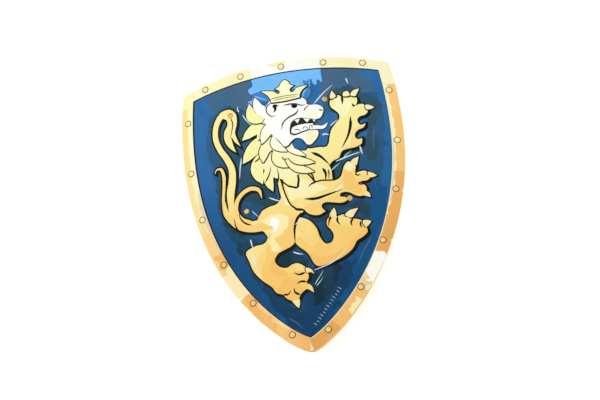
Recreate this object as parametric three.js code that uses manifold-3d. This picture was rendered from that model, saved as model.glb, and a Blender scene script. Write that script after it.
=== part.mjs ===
// A child's heater shield: one thick sheet of foam bent about its upright centre line, with a
// hand strap and a forearm strap of webbing across its hollow back, each held by two rivets that
// go right through the sheet. Millimetres. It lies face up on its two long side edges: +Z is up
// out of the face, +Y runs towards the arched top edge and X runs across.

import * as THREE from 'three';
import { mergeVertices } from 'three/addons/utils/BufferGeometryUtils.js';
import Module from 'manifold-3d';

// The face, seen from the front
const shieldHeight = 380;
const cornerHalfWidth = 134;
const archRise = 16.3; // middle of the top edge above its two corners
const sideSwell = 42.8; // how far the side's upper handle stands outside the corner
const sideDrop = 246; // how far that handle lies below the corner
const tipHandle = 21.7; // half the blunt width that the sides aim at below the tip
const cornerRounding = 3;

// The bent sheet
const sheetThickness = 10;
const faceRadius = 400;
const facetHalfWidth = 10; // the sheet is bent in flat strips, the middle one centred on X = 0
const stripCount = 17;
const restHalfWidth = 134; // where the outline is wider than this, its back edge is pressed flat to lie on

// Rivets: X and Y of each head on the face
const strapLayout = [
  { name: 'hand_strap', width: 25, top: [-72, 130], bottom: [-63, -1] },
  { name: 'forearm_strap', width: 30, top: [50, 129.5], bottom: [66, -5] },
];
const headRadius = 3.5;
const headRise = 1.4;
const shankRadius = 1.5;
const flangeRadius = 4;
const flangeThickness = 0.8;

// Straps
const strapThickness = 1.8;
const strapBow = 11.2; // how far the middle of a strap hangs off the back
const strapTail = 11; // length past each rivet
const strapLanding = 9; // length that lies flat inside each rivet
const strapRise = 32; // length over which it then leaves the back

// Fit
const gap = 0.3; // between pieces that touch
const strapSeat = 1; // from the back to a strap, whose flat width spans the curve

const outlineSteps = 30;
const profileSteps = 40;
const roundSides = 20;

const bendAxisZ = -(faceRadius - sheetThickness) * Math.cos(Math.asin(restHalfWidth / faceRadius));

const wasm = await Module();
wasm.setup();

function toSolid(geometry) {
  const bare = geometry.index ? geometry.toNonIndexed() : geometry.clone();
  bare.deleteAttribute('normal');
  bare.deleteAttribute('uv');
  const welded = mergeVertices(bare, 1e-4);
  return new wasm.Manifold(new wasm.Mesh({
    numProp: 3,
    vertProperties: new Float32Array(welded.attributes.position.array),
    triVerts: new Uint32Array(welded.index.array),
  }));
}

function toGeometry(solid) {
  const mesh = solid.getMesh();
  const geometry = new THREE.BufferGeometry();
  geometry.setAttribute('position', new THREE.BufferAttribute(mesh.vertProperties, 3));
  geometry.setIndex(new THREE.BufferAttribute(mesh.triVerts, 1));
  geometry.computeVertexNormals();
  return geometry;
}

const webbing = { color: 0x17191d, roughness: 0.85, metalness: 0 };
const foam = { color: 0xd9a763, roughness: 0.7, metalness: 0 };
const brass = { color: 0xc9a04e, roughness: 0.3, metalness: 1 };

function namedMesh(name, geometry, finish) {
  const mesh = new THREE.Mesh(geometry, new THREE.MeshStandardMaterial(finish));
  mesh.name = name;
  return mesh;
}

// Direction out of the face, square to the sheet, at a place on the face
function outwardAt(x) {
  const lean = Math.asin(x / faceRadius);
  return new THREE.Vector3(Math.sin(lean), 0, Math.cos(lean));
}

// A point under a place on the face, at a depth measured square to the sheet
function underFace([x, y], depth) {
  const axisPoint = new THREE.Vector3(0, y, bendAxisZ);
  return axisPoint.addScaledVector(outwardAt(x), faceRadius - depth);
}

// --- Foam sheet ---

function faceOutline() {
  const cornerY = shieldHeight / 2 - archRise;
  const tipY = -shieldHeight / 2;
  const archRadius = (cornerHalfWidth ** 2 + archRise ** 2) / (2 * archRise);
  const archCentreY = shieldHeight / 2 - archRadius;
  const corner = new THREE.Vector2(cornerHalfWidth, cornerY);
  const side = new THREE.CubicBezierCurve(
    corner,
    new THREE.Vector2(cornerHalfWidth + sideSwell, cornerY - sideDrop),
    new THREE.Vector2(tipHandle, tipY),
    new THREE.Vector2(0, tipY),
  );
  const sideStart = cornerRounding / side.getLength();
  const archSpan = Math.asin(cornerHalfWidth / archRadius) - cornerRounding / archRadius;
  const archAt = (angle) => new THREE.Vector2(
    archRadius * Math.sin(angle),
    archCentreY + archRadius * Math.cos(angle),
  );

  const rightHalf = [];
  for (let i = 0; i <= outlineSteps / 2; i++) {
    rightHalf.push(archAt((archSpan * i) / (outlineSteps / 2)));
  }
  const bend = new THREE.QuadraticBezierCurve(archAt(archSpan), corner, side.getPoint(sideStart));
  rightHalf.push(...bend.getPoints(4).slice(1));
  for (let i = 1; i <= outlineSteps; i++) {
    rightHalf.push(side.getPoint(sideStart + ((1 - sideStart) * i) / outlineSteps));
  }
  const leftHalf = rightHalf.slice(1, -1).reverse().map((p) => new THREE.Vector2(-p.x, p.y));
  return new THREE.Shape([...rightHalf, ...leftHalf]);
}

// The curved blank: a bent band in the XZ plane, drawn out along Y past both ends of the shield
function bentBlank() {
  const stripAngle = 2 * Math.asin(facetHalfWidth / faceRadius);
  const section = new THREE.Shape();
  const edge = (radius, i) => {
    const angle = (i - stripCount / 2) * stripAngle;
    return [radius * Math.sin(angle), bendAxisZ + radius * Math.cos(angle)];
  };
  section.moveTo(...edge(faceRadius, 0));
  for (let i = 1; i <= stripCount; i++) section.lineTo(...edge(faceRadius, i));
  for (let i = stripCount; i >= 0; i--) section.lineTo(...edge(faceRadius - sheetThickness, i));
  section.closePath();
  const length = shieldHeight + 2 * sheetThickness;
  const blank = new THREE.ExtrudeGeometry(section, { depth: length, bevelEnabled: false });
  return blank.rotateX(Math.PI / 2).translate(0, length / 2, 0);
}

// The punch cuts square to the bent sheet, so its walls fan out from the bend axis. It passes far
// enough above and below for its flat ends to stay clear of the curve.
function punch() {
  const reach = 0.1 * faceRadius;
  const geometry = new THREE.ExtrudeGeometry(faceOutline(), { depth: 1, bevelEnabled: false });
  const corners = geometry.attributes.position;
  for (let i = 0; i < corners.count; i++) {
    const radius = faceRadius + (corners.getZ(i) > 0 ? reach : -reach);
    const outward = outwardAt(corners.getX(i));
    corners.setXYZ(i, radius * outward.x, corners.getY(i), bendAxisZ + radius * outward.z);
  }
  return geometry;
}

function foamSheet() {
  const aboveFloor = new THREE.BoxGeometry(faceRadius, 2 * shieldHeight, faceRadius);
  aboveFloor.translate(0, 0, faceRadius / 2);
  let sheet = toSolid(bentBlank()).intersect(toSolid(punch())).intersect(toSolid(aboveFloor));
  for (const { top, bottom } of strapLayout) {
    for (const place of [top, bottom]) sheet = sheet.subtract(rivetHole(place));
  }
  return toGeometry(sheet);
}

function rivetHole(place) {
  const radius = shankRadius + gap;
  const drill = new THREE.CylinderGeometry(radius, radius, 3 * sheetThickness, roundSides);
  const middle = underFace(place, sheetThickness / 2);
  const turn = new THREE.Quaternion().setFromUnitVectors(THREE.Object3D.DEFAULT_UP, outwardAt(place[0]));
  return toSolid(drill.applyQuaternion(turn).translate(middle.x, middle.y, middle.z));
}

// --- Straps ---

// How far a strap's middle surface hangs below its seat, at a distance from its midpoint
function hang(along, span) {
  const pastLanding = span / 2 - strapLanding - Math.abs(along);
  return -strapBow * THREE.MathUtils.smoothstep(pastLanding, 0, strapRise);
}

// The strap lies along its own Y axis, with its own Z axis towards the sheet
function strapGeometry(span, width) {
  const half = span / 2 + strapTail;
  const upper = [];
  const lower = [];
  for (let i = 0; i <= profileSteps; i++) {
    const along = -half + (2 * half * i) / profileSteps;
    const slope = hang(along + gap, span) - hang(along - gap, span);
    const tilt = Math.atan2(slope, 2 * gap);
    const out = new THREE.Vector2(-Math.sin(tilt), Math.cos(tilt)).multiplyScalar(strapThickness / 2);
    const middle = new THREE.Vector2(along, hang(along, span));
    upper.push(middle.clone().add(out));
    lower.push(middle.clone().sub(out));
  }
  const profile = new THREE.Shape([...lower, ...upper.reverse()]);
  const band = new THREE.ExtrudeGeometry(profile, { depth: width, bevelEnabled: false });
  band.translate(0, 0, -width / 2);
  band.applyMatrix4(new THREE.Matrix4().makeBasis(
    new THREE.Vector3(0, 1, 0),
    new THREE.Vector3(0, 0, 1),
    new THREE.Vector3(1, 0, 0),
  ));
  let solid = toSolid(band);
  for (const end of [-span / 2, span / 2]) {
    const radius = shankRadius + gap;
    const drill = new THREE.CylinderGeometry(radius, radius, 3 * strapThickness, roundSides);
    solid = solid.subtract(toSolid(drill.rotateX(Math.PI / 2).translate(0, end, 0)));
  }
  return toGeometry(solid);
}

function strap({ name, width, top, bottom }) {
  const seat = sheetThickness + strapSeat + strapThickness / 2;
  const upper = underFace(top, seat);
  const lower = underFace(bottom, seat);
  const alongAxis = upper.clone().sub(lower);
  const span = alongAxis.length();
  alongAxis.normalize();
  const outward = outwardAt((top[0] + bottom[0]) / 2);
  const acrossAxis = new THREE.Vector3().crossVectors(alongAxis, outward).normalize();
  outward.crossVectors(acrossAxis, alongAxis);
  const mesh = namedMesh(name, strapGeometry(span, width), webbing);
  mesh.quaternion.setFromRotationMatrix(
    new THREE.Matrix4().makeBasis(acrossAxis, alongAxis, outward),
  );
  mesh.position.addVectors(upper, lower).multiplyScalar(0.5);
  return mesh;
}

// --- Rivets ---

// A low dome on the face, a shank through sheet and strap, and a flat flange under the strap.
// The lathe's axis is Y, with Y = 0 on the face.
function rivetGeometry() {
  const flangeTop = -(sheetThickness + strapSeat + strapThickness + gap);
  const domeRadius = (headRadius ** 2 + headRise ** 2) / (2 * headRise);
  const domeAngle = Math.asin(headRadius / domeRadius);
  const profile = [
    [0, flangeTop - flangeThickness],
    [flangeRadius, flangeTop - flangeThickness],
    [flangeRadius, flangeTop],
    [shankRadius, flangeTop],
    [shankRadius, gap],
  ];
  const domeSteps = 4;
  for (let i = 0; i <= domeSteps; i++) {
    const angle = domeAngle * (1 - i / domeSteps);
    profile.push([domeRadius * Math.sin(angle), gap + headRise - domeRadius * (1 - Math.cos(angle))]);
  }
  return new THREE.LatheGeometry(profile.map(([r, y]) => new THREE.Vector2(r, y)), roundSides);
}

function rivet(name, place) {
  const mesh = namedMesh(name, rivetGeometry(), brass);
  mesh.position.copy(underFace(place, 0));
  mesh.quaternion.setFromUnitVectors(THREE.Object3D.DEFAULT_UP, outwardAt(place[0]));
  return mesh;
}

// --- Assembly ---

const shield = new THREE.Group();
shield.add(namedMesh('shield_body', foamSheet(), foam));
for (const layout of strapLayout) {
  const owner = layout.name.replace('_strap', '');
  shield.add(strap(layout));
  shield.add(rivet(`${owner}_rivet_top`, layout.top));
  shield.add(rivet(`${owner}_rivet_bottom`, layout.bottom));
}

export default shield;
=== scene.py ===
import math
from collections import Counter

import bmesh
import bpy
import numpy as np
from mathutils import Matrix, Vector
from mathutils.geometry import delaunay_2d_cdt


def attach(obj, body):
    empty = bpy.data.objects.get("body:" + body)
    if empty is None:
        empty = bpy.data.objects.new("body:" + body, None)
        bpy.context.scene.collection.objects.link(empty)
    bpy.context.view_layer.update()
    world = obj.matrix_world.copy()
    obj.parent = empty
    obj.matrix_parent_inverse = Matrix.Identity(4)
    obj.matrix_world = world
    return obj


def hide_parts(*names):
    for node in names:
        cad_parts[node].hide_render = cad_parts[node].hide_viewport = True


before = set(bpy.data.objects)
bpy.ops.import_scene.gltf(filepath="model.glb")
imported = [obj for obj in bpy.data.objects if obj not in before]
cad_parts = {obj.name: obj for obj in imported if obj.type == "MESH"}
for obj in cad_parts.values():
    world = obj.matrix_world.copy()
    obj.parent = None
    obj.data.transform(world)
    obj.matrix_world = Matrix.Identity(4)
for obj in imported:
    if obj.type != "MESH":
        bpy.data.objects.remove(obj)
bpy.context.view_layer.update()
mm = 0.001
scene = bpy.context.scene
print("frame loaded:", ", ".join(sorted(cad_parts)))


class Wire:  # one socket of a node tree, so that its maths reads as a sum
    def __init__(self, nodes, socket):
        self.nodes = nodes
        self.socket = socket

    def maths(self, operation, first, second):
        return self.nodes.node("ShaderNodeMath", {"operation": operation}, {0: first, 1: second})

    def __add__(self, other):
        return self.maths("ADD", self, other)

    def __sub__(self, other):
        return self.maths("SUBTRACT", self, other)

    def __rsub__(self, other):
        return self.maths("SUBTRACT", other, self)

    def __mul__(self, other):
        return self.maths("MULTIPLY", self, other)

    __radd__ = __add__
    __rmul__ = __mul__


class Nodes:  # a node tree, filled by one method
    def __init__(self, tree):
        self.tree = tree

    def node(self, kind, settings=None, inputs=None, output=0):
        made = self.tree.nodes.new(kind)
        for key, value in (settings or {}).items():
            setattr(made, key, value)
        for key, value in (inputs or {}).items():
            if isinstance(value, Wire):
                self.tree.links.new(value.socket, made.inputs[key])
            else:
                made.inputs[key].default_value = value
        return Wire(self, made.outputs[output]) if len(made.outputs) else None


class Finish(Nodes):  # a material, patterned by the place on the object
    def __init__(self, name):
        self.material = bpy.data.materials.new(name)
        self.material.use_nodes = True
        super().__init__(self.material.node_tree)
        self.tree.nodes.clear()
        self.place = self.node("ShaderNodeTexCoord", output="Object")

    def noise(self, scale, detail=3, where=None, swirl=0.0):
        return self.node("ShaderNodeTexNoise", inputs={
            "Vector": where or self.place, "Scale": scale, "Detail": detail,
            "Roughness": 0.55, "Distortion": swirl})

    def stretched(self, scale, turn=0.0):  # the place, squeezed or turned, for a pattern with a direction
        return self.node("ShaderNodeMapping", inputs={
            "Vector": self.place, "Scale": scale, "Rotation": (0, 0, turn)})

    def step(self, value, low, high):
        return self.node("ShaderNodeMapRange", {"interpolation_type": "SMOOTHSTEP"}, {
            "Value": value, "From Min": low, "From Max": high})

    def mix(self, factor, first, second):
        return self.node("ShaderNodeMix", {"data_type": "RGBA"}, {0: factor, 6: first, 7: second}, output=2)

    def axis(self, name, where=None):
        return self.node("ShaderNodeSeparateXYZ", inputs={0: where or self.place}, output=name)

    def bump(self, height, strength, distance):
        return self.node("ShaderNodeBump", inputs={
            "Height": height, "Strength": strength, "Distance": distance})

    def skin(self, **sockets):
        named = {key.replace("_", " "): value for key, value in sockets.items()}
        shader = self.node("ShaderNodeBsdfPrincipled", inputs=named)
        self.node("ShaderNodeOutputMaterial", inputs={"Surface": shader})
        return self.material


def screen(red, green, blue):  # a colour as a paint chart gives it, 0 to 255, for a shader
    def linear(value):
        value /= 255
        return value / 12.92 if value <= 0.04045 else ((value + 0.055) / 1.055) ** 2.4
    return (linear(red), linear(green), linear(blue), 1.0)


def addPiece(name, points, faces, paints, paintOf=None, crease=35):
    mesh = bpy.data.meshes.new(name)
    mesh.from_pydata([tuple(p) for p in points], [], faces)
    for paint in paints:
        mesh.materials.append(paint)
    if paintOf is not None:
        mesh.polygons.foreach_set("material_index", paintOf)
    mesh.polygons.foreach_set("use_smooth", [True] * len(mesh.polygons))
    mesh.set_sharp_from_angle(angle=math.radians(crease))
    mesh.update()
    piece = bpy.data.objects.new(name, mesh)
    scene.collection.objects.link(piece)
    return piece


# the foam: a flat blank, bent over a cylinder
sheet = {  # millimetres, the sizes of the cut blank
    "height": 380, "cornerHalf": 134, "archRise": 16.3, "sideSwell": 42.8, "sideDrop": 246,
    "tipHandle": 21.7, "cornerRound": 3, "thickness": 10, "faceRadius": 400, "restHalf": 134,
    "edgeRound": 1.2, "edgeSteps": 5, "mesh": 6.0, "outlineStep": 1.6, "sideSteps": 220, "archSteps": 160}

bendAxis = -(sheet["faceRadius"] - sheet["thickness"]) * math.cos(
    math.asin(sheet["restHalf"] / sheet["faceRadius"]))


def bent(x, y, depth):  # a point depth millimetres under the blank's face, bent, in metres
    radius = sheet["faceRadius"] - depth
    across = x / sheet["faceRadius"]
    up = bendAxis + radius * np.sqrt(1 - across * across)
    return np.stack([radius * across * mm, y * mm, np.maximum(up, 0) * mm], -1)


def bezier(a, b, c, d, count):
    t = np.linspace(0, 1, count, endpoint=False)[:, None]
    return (1 - t) ** 3 * a + 3 * (1 - t) ** 2 * t * b + 3 * (1 - t) * t ** 2 * c + t ** 3 * d


def evenly(loop, step):
    closed = np.vstack([loop, loop[:1]])
    run = np.concatenate([[0], np.cumsum(np.linalg.norm(np.diff(closed, axis=0), axis=1))])
    spots = np.linspace(0, run[-1], max(8, round(run[-1] / step)), endpoint=False)
    return np.stack([np.interp(spots, run, closed[:, i]) for i in (0, 1)], 1)


def shieldOutline():  # counter-clockwise from the tip
    top = sheet["height"] / 2
    corner = np.array([sheet["cornerHalf"], top - sheet["archRise"]])
    tip = np.array([0.0, -top])
    swell = corner + [sheet["sideSwell"], -sheet["sideDrop"]]
    handle = tip + [sheet["tipHandle"], 0]
    right = bezier(tip, handle, swell, corner, sheet["sideSteps"])
    archRadius = (corner[0] ** 2 + sheet["archRise"] ** 2) / (2 * sheet["archRise"])
    half = math.asin(corner[0] / archRadius)
    angles = np.linspace(half, -half, sheet["archSteps"], endpoint=False)
    arch = np.stack([archRadius * np.sin(angles), top - archRadius * (1 - np.cos(angles))], 1)
    left = right[1:][::-1] * [-1, 1]
    leftCorner = corner * [-1, 1]
    loop = evenly(np.vstack([right, arch, leftCorner[None], left]), sheet["outlineStep"])
    for spot in (corner, leftCorner):  # the two top corners are rounded off
        near = np.linalg.norm(loop - spot, axis=1) < sheet["cornerRound"]
        first, last = loop[np.roll(near, -1) & ~near][0], loop[np.roll(near, 1) & ~near][0]
        t = np.linspace(0, 1, near.sum() + 2)[1:-1, None]
        index = np.flatnonzero(near)
        loop[index] = (1 - t) ** 2 * first + 2 * t * (1 - t) * spot + t * t * last
    return loop


def normalsOf(line, closed=True):
    run = np.roll(line, -1, 0) - np.roll(line, 1, 0) if closed else np.gradient(line, axis=0)
    run = run / np.maximum(np.linalg.norm(run, axis=1, keepdims=True), 1e-9)
    return np.stack([run[:, 1], -run[:, 0]], 1)


def distanceTo(points, loop):  # from each point to the closed line
    best = np.full(len(points), 1e9)
    for a, b in zip(loop, np.roll(loop, -1, 0)):
        run = b - a
        t = np.clip(((points - a) @ run) / (run @ run), 0, 1)
        best = np.minimum(best, np.linalg.norm(points - a - t[:, None] * run, axis=1))
    return best


def inset(loop, by):
    moved = loop - normalsOf(loop) * by
    return moved[distanceTo(moved, loop) > by * 0.985]


def inside(points, loop):  # by winding number, so that a line may cross itself
    turns = np.zeros(len(points), int)
    low, high = loop.min(0), loop.max(0)
    near = np.flatnonzero(np.all((points > low) & (points < high), axis=1))
    if not len(near):
        return turns > 0
    px, py = points[near].T
    wound = np.zeros(len(near), int)
    for (ax, ay), (bx, by) in zip(loop, np.roll(loop, -1, 0)):
        side = (bx - ax) * (py - ay) - (px - ax) * (by - ay)
        wound += ((ay <= py) & (by > py) & (side > 0)).astype(int)
        wound -= ((ay > py) & (by <= py) & (side < 0)).astype(int)
    turns[near] = wound
    return turns != 0


def gridInside(loop, step, clear):  # staggered points that fill the loop
    low, high = loop.min(0), loop.max(0)
    rows = np.arange(low[1] + step / 2, high[1], step * 0.87)
    points = []
    for i, y in enumerate(rows):
        xs = np.arange(low[0] + (i % 2) * step / 2, high[0], step)
        points.append(np.stack([xs, np.full(len(xs), y)], 1))
    points = np.vstack(points)
    points = points[inside(points, loop)]
    return points[distanceTo(points, loop) > clear]


def triangulated(loops, extra):  # triangles that keep every line of the loops as edges
    points = np.vstack(list(loops) + [extra])
    edges = []
    start = 0
    for loop in loops:
        count = len(loop)
        edges += [(start + i, start + (i + 1) % count) for i in range(count)]
        start += count
    made = delaunay_2d_cdt([Vector(p) for p in points.tolist()], edges, [], 0, 1e-4)
    return np.array([tuple(v) for v in made[0]]), np.array([tuple(f) for f in made[2]])


outline = shieldOutline()


def welded(points, faces):  # doubles merged, normals outward
    merge = 1e-6
    mesh = bpy.data.meshes.new("weld")
    mesh.from_pydata([tuple(p) for p in points], [], faces)
    work = bmesh.new()
    work.from_mesh(mesh)
    bmesh.ops.remove_doubles(work, verts=work.verts, dist=merge)
    bmesh.ops.dissolve_degenerate(work, edges=work.edges, dist=merge)
    bmesh.ops.recalc_face_normals(work, faces=work.faces)
    made = [tuple(v.co) for v in work.verts], [[v.index for v in f.verts] for f in work.faces]
    work.free()
    bpy.data.meshes.remove(mesh)
    return made


def foamSheet():
    rounding, steps, thick = sheet["edgeRound"], sheet["edgeSteps"], sheet["thickness"]
    quarter = [math.pi / 2 * k / steps for k in range(steps + 1)]
    edge = [(rounding * (1 - math.sin(a)), rounding * (1 - math.cos(a))) for a in quarter]
    wall = [(0, thick * k / 4) for k in (1, 2, 3)]
    edge += wall + [(step, thick - depth) for step, depth in edge[::-1]]
    out = normalsOf(outline)
    rings = [bent(*(outline - out * by).T, depth) for by, depth in edge]
    points = np.vstack(rings)
    count = len(outline)
    faces = []
    for row in range(len(rings) - 1):
        for i in range(count):
            j = (i + 1) % count
            faces.append([row * count + i, row * count + j, (row + 1) * count + j, (row + 1) * count + i])
    border = outline - out * rounding
    flat, triangles = triangulated([border], gridInside(border, sheet["mesh"], 2))
    triangles = triangles[inside(flat[triangles].mean(1), border)]
    for depth, turn in ((0, 1), (thick, -1)):
        faces += (triangles[:, ::turn] + len(points)).tolist()
        points = np.vstack([points, bent(*flat.T, depth)])
    return welded(points, faces)


def foamFinish():  # closed-cell foam: fine cells, a cloudy tan, paler where it has been rubbed
    foam = Finish("tan_foam")
    clouds = foam.noise(22, 3)
    cells = foam.node("ShaderNodeTexVoronoi", {"feature": "F1"}, {"Vector": foam.place, "Scale": 1100})
    pits = foam.noise(2600, 2)
    tan = foam.mix(foam.step(clouds, 0.35, 0.68), screen(214, 166, 104), screen(228, 184, 122))
    speck = foam.step(pits, 0.56, 0.72)
    tan = foam.mix(speck * 0.35, tan, screen(182, 132, 76))
    scuff = foam.step(foam.noise(60, 4, foam.stretched((1, 5, 1))), 0.6, 0.75)
    tan = foam.mix(scuff * 0.3, tan, screen(238, 204, 150))
    height = cells * 0.6 + pits * 0.4 + clouds * 0.5
    return foam.skin(Base_Color=tan, Roughness=foam.step(clouds, 0, 1) * 0.12 + 0.74,
                     Normal=foam.bump(height, 0.35, 0.0004), Specular_IOR_Level=0.3)


points, faces = foamSheet()
foam = addPiece("foam_sheet", points, faces, [foamFinish()])
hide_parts("shield_body")
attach(foam, "root")
print("foam sheet:", len(foam.data.polygons), "faces")


# the print is drawn in millimetres on the flat blank, from the tools that follow
def segment(a, b, c, d, step):  # the smooth run from b to c
    knots = [0.0]
    for p, q in ((a, b), (b, c), (c, d)):
        knots.append(knots[-1] + math.sqrt(max(np.linalg.norm(q - p), 1e-6)))
    ta, tb, tc, td = knots
    count = max(2, round(np.linalg.norm(c - b) / step))
    t = tb + (tc - tb) * np.arange(count)[:, None] / count
    ab = (a * (tb - t) + b * (t - ta)) / (tb - ta)
    bc = (b * (tc - t) + c * (t - tb)) / (tc - tb)
    cd = (c * (td - t) + d * (t - tc)) / (td - tc)
    abc = (ab * (tc - t) + bc * (t - ta)) / (tc - ta)
    bcd = (bc * (td - t) + cd * (t - tb)) / (td - tb)
    return (abc * (tc - t) + bcd * (t - tb)) / (tc - tb)


def smoothRun(points, step):
    points = [np.array(p[:2], float) for p in points]
    ends = [2 * points[0] - points[1]] + points + [2 * points[-1] - points[-2]]
    return np.vstack([segment(*four, step) for four in zip(ends, ends[1:], ends[2:], ends[3:])])


def shape(points, step=1.5):  # a closed outline through the points; a third value marks a sharp corner
    corners = [i for i, p in enumerate(points) if len(p) > 2]
    count = len(points)
    if not corners:
        flat = [np.array(p, float) for p in points]
        return np.vstack([segment(flat[i - 1], flat[i], flat[(i + 1) % count], flat[(i + 2) % count], step)
                          for i in range(count)])
    runs = []
    for start, end in zip(corners, corners[1:] + [corners[0] + count]):
        runs.append(smoothRun([points[i % count] for i in range(start, end + 1)], step))
    return np.vstack(runs)


def band(points, widths, step=1.5):  # a ribbon along a line, its widths spread evenly along it
    line = np.vstack([smoothRun(points, step), [points[-1][:2]]])
    run = np.concatenate([[0], np.cumsum(np.linalg.norm(np.diff(line, axis=0), axis=1))])
    half = np.interp(run / run[-1], np.linspace(0, 1, len(widths)), widths) / 2
    side = normalsOf(line, False) * half[:, None]
    return np.vstack([line + side, (line - side)[::-1]])


def penStroke(points, width, head=0.2, tail=0.5):  # swells quickly, then thins away
    return band(points, [width * head, width, width * 0.92, width * 0.72, width * tail, width * 0.12])


def lock(base, middle, tip, width):  # one leaf of the mane
    return band([base, middle, tip], [width * 0.75, width, width, width * 0.86, width * 0.6, 0.2])


def disc(x, y, radius, count=14):
    angles = np.arange(count) * 2 * math.pi / count
    return np.stack([x + radius * np.cos(angles), y + radius * np.sin(angles)], 1)


def swollen(loop, thin, thick, light=(-0.6, 0.8), mitreLimit=1.7):  # outwards, most on the shaded side
    x, y = loop.T
    if np.sum(x * np.roll(y, -1) - np.roll(x, -1) * y) < 0:
        loop = loop[::-1]
    out = normalsOf(loop)
    before = loop - np.roll(loop, 1, 0)
    after = np.roll(loop, -1, 0) - loop
    before /= np.maximum(np.linalg.norm(before, axis=1, keepdims=True), 1e-9)
    after /= np.maximum(np.linalg.norm(after, axis=1, keepdims=True), 1e-9)
    spread = np.sqrt(np.clip((1 + (before * after).sum(1)) / 2, 0.09, 1))
    turn = before[:, 0] * after[:, 1] - before[:, 1] * after[:, 0]
    mitre = np.where(turn > 0, np.minimum(1 / spread, mitreLimit), 1)
    shade = np.clip(-(out @ np.array(light)), 0, 1)
    return loop + out * ((thin + (thick - thin) * shade) * mitre)[:, None]


def brushed(loop, reach, seed):  # the ragged edge of a broad brush
    dice = np.random.default_rng(seed)
    loop = evenly(loop, 1.6)
    turn = np.arange(len(loop)) / len(loop) * 2 * math.pi
    waver = sum(dice.normal() * np.cos(round(k) * turn + dice.uniform(0, 6.3)) / k ** 0.5
                for k in np.geomspace(3, len(loop) / 5, 12))
    nibs = np.repeat(dice.normal(0, 0.5, len(loop) // 4 + 1), 4)[:len(loop)]
    return loop + normalsOf(loop) * ((waver * 0.55 + nibs) * reach)[:, None]


layers = []  # the print from the bottom up: ink, outline, and the outlines that it stays within or without


def lay(ink, loop, within=(), without=()):
    layers.append((ink, loop, within, without))


def inkGroup(items, line="line", thin=2.0, thick=4.2):  # pieces that share one outline where they meet
    for ink, loop in items:
        lay(line, swollen(loop, thin, thick))
    for ink, loop in items:
        lay(ink, loop)


rim = {  # millimetres
    "width": 15.6, "cornerLift": 2.4, "liftFrom": 120, "liftRun": 45, "liftHalf": 120,
    "margin": 0.3, "studRing": 4.5, "studInside": 3.2,
    "studs": [
        (0, 182), (53.5, 179.5), (102, 174), (130, 135), (132, 67), (122.5, 2.5), (99.5, -62.5),
        (66.5, -119), (22, -167)],
    # tones brushed along the sides: ink, side, top, bottom, outer and inner edge, raggedness, seed
    "tones": [("rimPeach", -1, 156, -96, -1, 8.5, 0.7, 11), ("rimSand", -1, 38, -62, 10.5, 18, 1.1, 12),
              ("rimPeach", -1, -18, -66, -1, 13, 1.2, 13), ("rimAmber", -1, -52, -74, 4, 18, 1.4, 14),
              ("rimCream", -1, -78, -108, -1, 18, 1.6, 15), ("rimAmber", -1, -114, -195, -1, 20, 1.4, 16),
              ("rimPeach", -1, -128, -170, 12, 18, 1.0, 17), ("rimAmber", 1, 146, 18, -1, 11, 0.8, 21),
              ("rimOrange", 1, 24, -64, -1, 12, 1.0, 22), ("rimSand", 1, 70, -20, 12.5, 18, 0.6, 23),
              ("rimOrange", 1, -34, -84, -1, 18, 1.6, 24), ("rimWhite", 1, -80, -118, -1, 18, 2.0, 25),
              ("rimPeach", 1, -108, -118, 9, 18, 1.3, 26), ("rimSand", 1, -114, -134, 3, 18, 1.4, 27),
              ("rimAmber", 1, -124, -195, -1, 20, 1.5, 28), ("rimCream", 1, -136, -152, -1, 7, 1.0, 29),
              ("rimOrange", 1, -166, -195, -1, 20, 1.2, 30)]}

filmEdge = inset(outline, rim["margin"])
fieldLoop = evenly(inset(evenly(outline, 1.0), rim["width"]), sheet["outlineStep"])
lift = np.clip((fieldLoop[:, 1] - rim["liftFrom"]) / rim["liftRun"], 0, 1)
fieldLoop[:, 1] += rim["cornerLift"] * lift * (fieldLoop[:, 0] / rim["liftHalf"]) ** 2
shadowed = [fieldLoop + [2.1, -0.8], fieldLoop + [0, -1.6]]  # where the dark edge line ends


def sideBand(side, top, bottom, outer, inner):  # a strip of the rim between two heights
    out = normalsOf(outline)
    wanted = (outline[:, 0] * side > 0) & (outline[:, 1] < top) & (outline[:, 1] > bottom)
    strip, push = outline[wanted], out[wanted]
    order = np.argsort(strip[:, 1])
    strip, push = strip[order], push[order]
    return np.vstack([strip - push * outer, (strip - push * inner)[::-1]])


def drawRim():
    field = [fieldLoop]
    lay("rimCream", filmEdge)
    lay("rimButter", shape([
        (-140, 150, 1), (-136, 180, 1), (-60, 195, 1), (-44, 196), (-41, 170, 1), (-90, 160)]),
        without=field)
    lay("rimWhite", shape([(-42, 196, 1), (48, 198, 1), (48, 168, 1), (-38, 168, 1)]), without=field)
    lay("rimButter", brushed(shape([(-20, 192, 1), (8, 193, 1), (6, 186), (-12, 184)]), 0.8, 5),
        without=field)
    for ink, side, top, bottom, outer, inner, reach, seed in rim["tones"]:
        lay(ink, brushed(sideBand(side, top, bottom, outer, inner), reach, seed), without=field)
    # the edge of the field: a dark line on its upper left, a pale one on its lower right
    lay("rimCream", fieldLoop + [0.9, -0.6], without=field)
    lay("line", fieldLoop)
    lay("blue", fieldLoop, within=shadowed)
    for x, y in rim["studs"]:
        for spot in sorted({x, -x}):
            ink = "studWarm" if (spot > 100 and y < 30) or y < -50 else "studPale"
            lay("studLine", disc(spot, y, rim["studRing"]))
            lay(ink, disc(spot - 0.15, y + 0.15, rim["studInside"]))


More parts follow.
